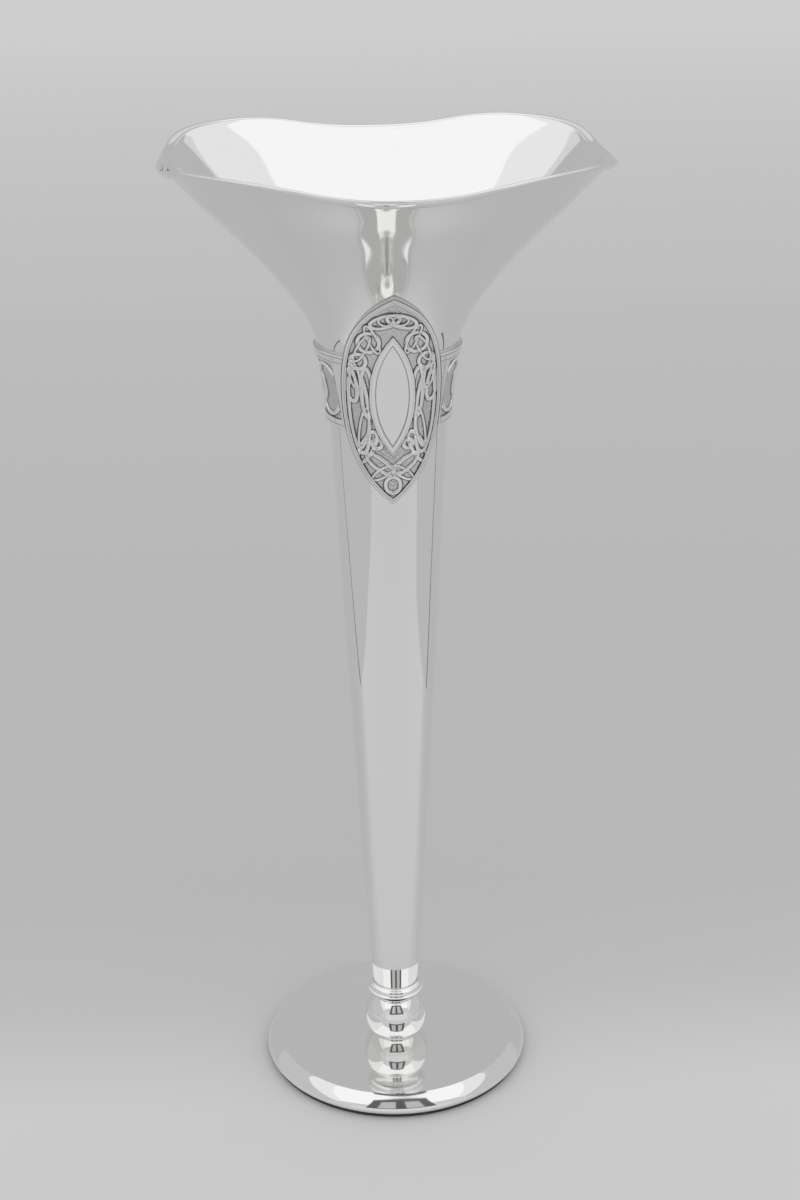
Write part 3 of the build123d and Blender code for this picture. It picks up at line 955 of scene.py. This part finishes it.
# Outlines of the darker patches of floor that the stem mirrors beside its middle
SHADE_LEFT = (
    (-0.269, 0.0235), (-0.30, -0.17), (-0.30, -0.32), (-0.345, -0.44), (-0.82, -1.13),
    (-1.4, -1.13), (-1.4, 1.0), (-1.26, 0.93),
)
SHADE_RIGHT = (
    (0.259, 0.058), (0.28, -0.04), (0.305, -0.18), (0.36, -0.24), (0.46, -0.32), (1.13, -0.82),
    (1.4, -0.82), (1.4, 0.43),
)


def card(name, corners, level, faces=None):
    """Glowing card that only reflections see, of one face unless others are given."""
    mesh = bpy.data.meshes.new(name)
    mesh.from_pydata(corners, [], faces or [tuple(range(len(corners)))])
    made = bpy.data.materials.new(name)
    made.use_nodes = True
    nodes, links = made.node_tree.nodes, made.node_tree.links
    nodes.clear()
    glow = nodes.new("ShaderNodeEmission")
    glow.inputs["Color"].default_value = (level, level, level, 1)
    out = nodes.new("ShaderNodeOutputMaterial")
    links.new(glow.outputs["Emission"], out.inputs["Surface"])
    piece = new_object(name, mesh)
    piece.data.materials.append(made)
    piece.visible_camera = False
    piece.visible_diffuse = False
    piece.visible_shadow = False
    piece.visible_transmission = False


def wall(name, foot, head, level_low, level_high):
    """Side of the tent from two points on the floor to two above, in two tones."""
    middle = [
        tuple(a + (b - a) * WALL_SPLIT for a, b in zip(low, high))
        for low, high in zip(foot, head)
    ]
    card(name, [*foot, middle[1], middle[0]], level_low)
    card(name + "_high", [*middle, head[1], head[0]], level_high)


def ring_card(name, centre, radii, width, level):
    """Level oval ring."""
    turn = np.linspace(0, 2 * math.pi, 48, endpoint=False)
    x, y, z = centre
    run, rise = radii
    inner, outer = (
        [(x + (run + out) * math.cos(t), y + (rise + out) * math.sin(t), z) for t in turn]
        for out in (-width / 2, width / 2)
    )
    count = len(turn)
    faces = [(i, (i + 1) % count, count + (i + 1) % count, count + i) for i in range(count)]
    card(name, inner + outer, level, faces)


def upright_card(name, front, azimuth, low, high, level):
    """Upright card in front, given by its half azimuth and two elevations in degrees."""
    half = -front * math.tan(math.radians(azimuth))
    bottom, top = (-front * math.tan(math.radians(angle)) for angle in (low, high))
    corners = [(-half, bottom), (half, bottom), (half, top), (-half, top)]
    card(name, [(x, front, z) for x, z in corners], level)


def floor_patch(name, corners, level):
    """Patch of another tone just over the floor, seen only in the silver."""
    card(name, [(x, y, PATCH_HEIGHT) for x, y in corners], level)


def floor_strip(name, start, end, width, level):
    """Narrow dark strip just over the floor, seen only as a line in the silver."""
    start, end = np.array(start), np.array(end)
    along = (end - start) / np.linalg.norm(end - start)
    across = np.array([-along[1], along[0]]) * width / 2
    corners = [start - across, end - across, end + across, start + across]
    card(name, [(x, y, CORD_HEIGHT) for x, y in corners], level)


def build_tent():
    """Tent round the vase: ceiling, walls, window, and what lies on the floor beside it."""
    left_near, right_near = (
        (x, TENT_NEAR, TENT_TOP) for x in (-TENT_WIDE_NEAR, TENT_WIDE_NEAR)
    )
    left_far, right_far = ((x, TENT_FAR, TENT_TOP) for x in (-TENT_WIDE_FAR, TENT_WIDE_FAR))
    foot_left_near, foot_left_far = (-TENT_SIDE, TENT_NEAR, 0.0), (-TENT_SIDE, TENT_FAR, 0.0)
    foot_right_near, foot_right_far = (TENT_SIDE, TENT_NEAR, 0.0), (TENT_SIDE, TENT_FAR, 0.0)
    card("tent_ceiling", [left_near, right_near, right_far, left_far], CEILING_LEVEL)
    wall("tent_left", [foot_left_near, foot_left_far], [left_near, left_far], *LEFT_LEVELS)
    wall("tent_right", [foot_right_near, foot_right_far], [right_near, right_far], *RIGHT_LEVELS)
    wall("tent_back", [foot_left_far, foot_right_far], [left_far, right_far], *BACK_LEVELS)
    card("tent_front", [foot_left_near, foot_right_near, right_near, left_near], FRONT_LEVEL)
    ring_card("tent_seam", *SEAM)
    upright_card("tent_low", LOW_CARD_AT, *LOW_CARD)
    for layer, (name, window_card) in enumerate(WINDOW_CARDS):
        upright_card(name, WINDOW_AT + layer * WINDOW_LAYER, *window_card)
    floor_patch("tent_shade_left", SHADE_LEFT, SHADE_LEVEL)
    floor_patch("tent_shade_right", SHADE_RIGHT, SHADE_LEVEL)
    floor_strip("tent_cord_left", *CORD_LEFT, CORD_LEVEL)
    floor_strip("tent_cord_right", *CORD_RIGHT, CORD_LEVEL)


# Floor, world and camera

FLOOR_HALF = 12.0
# Painted light falloff on the paper, lighter in front, darker just behind the vase and lighter far
# back, as places along Y in metres and grey levels
FLOOR_PAINTED_LIGHT = (
    (-0.4, 0.575), (-0.12, 0.605), (-0.03, 0.61), (0.03, 0.515), (0.1, 0.485), (0.4, 0.475),
    (1.1, 0.51), (3.2, 0.61),
)

# Place in metres and turns in radians, fitted to the foot's circle and the lip,
# with the lens in pixels of the photograph
CAMERA_DISTANCE = 0.57147
CAMERA_HEIGHT = 0.39588
CAMERA_PITCH = 0.386
CAMERA_AZIMUTH = math.radians(3.5)
CAMERA_ROLL = 0.0119
FOCAL_PIXELS = 1971.189
PHOTO_HEIGHT = 1200
AXIS_SHIFT_PIXELS = 9.2
SENSOR_MM = 36


def build_floor():
    """Paper floor with painted light and shade: its grey changes from near to far."""
    corners = [(-1, -1), (1, -1), (1, 1), (-1, 1)]
    mesh = bpy.data.meshes.new("floor")
    mesh.from_pydata([(x * FLOOR_HALF, y * FLOOR_HALF, 0) for x, y in corners], [], [(0, 1, 2, 3)])
    floor = new_object("floor", mesh)
    made, nodes, links, shader = material("floor_paper")
    shader.inputs["Roughness"].default_value = 0.9
    shader.inputs["Specular IOR Level"].default_value = 0.1
    coords = nodes.new("ShaderNodeTexCoord")
    split = nodes.new("ShaderNodeSeparateXYZ")
    links.new(coords.outputs["Object"], split.inputs["Vector"])
    near, far = FLOOR_PAINTED_LIGHT[0][0], FLOOR_PAINTED_LIGHT[-1][0]
    ramp = nodes.new("ShaderNodeValToRGB")
    links.new(remap(nodes, links, split.outputs["Y"], near, far, 0, 1), ramp.inputs["Fac"])
    elements = ramp.color_ramp.elements
    while len(elements) < len(FLOOR_PAINTED_LIGHT):
        elements.new(0.5)
    for element, (y, level) in zip(elements, FLOOR_PAINTED_LIGHT):
        element.position = (y - near) / (far - near)
        element.color = (level, level, level, 1)
    links.new(ramp.outputs["Color"], shader.inputs["Base Color"])
    floor.data.materials.append(made)


def build_world():
    """Even white light at a plain level."""
    world = bpy.data.worlds.new("studio")
    world.use_nodes = True
    background = world.node_tree.nodes["Background"]
    background.inputs["Color"].default_value = (1, 1, 1, 1)
    background.inputs["Strength"].default_value = 1.0
    bpy.context.scene.world = world
    bpy.context.scene.view_settings.view_transform = "Standard"


def build_camera():
    """Camera at the photograph's place."""
    data = bpy.data.cameras.new("camera")
    data.sensor_width = SENSOR_MM
    data.lens = SENSOR_MM * FOCAL_PIXELS / PHOTO_HEIGHT
    data.clip_start, data.clip_end = 0.01, 100
    camera = bpy.data.objects.new("camera", data)
    bpy.context.scene.collection.objects.link(camera)
    turn = (
        Matrix.Rotation(-CAMERA_AZIMUTH, 4, "Z")
        @ Matrix.Rotation(math.pi / 2 - CAMERA_PITCH, 4, "X")
        @ Matrix.Rotation(-AXIS_SHIFT_PIXELS / FOCAL_PIXELS, 4, "Y")
        @ Matrix.Rotation(-CAMERA_ROLL, 4, "Z")
    )
    x = -CAMERA_DISTANCE * math.sin(CAMERA_AZIMUTH)
    y = -CAMERA_DISTANCE * math.cos(CAMERA_AZIMUTH)
    camera.matrix_world = Matrix.Translation((x, y, CAMERA_HEIGHT)) @ turn
    bpy.context.scene.camera = camera


build_bowl()
build_stem()
build_rim()
build_plaque("plaque_front", "front_plaque", 1)
build_plaque("plaque_back", "back_plaque", -1)
build_band("band_at_right", "band_right", 1)
build_band("band_at_left", "band_left", -1)
build_collar()
build_knop_half("knop_top_half", "knop_upper", KNOP_TOP)
build_knop_half("knop_low_half", "knop_lower", FOOT_SEAT)
build_foot()
build_pad()
build_tent()
build_floor()
build_world()
build_camera()
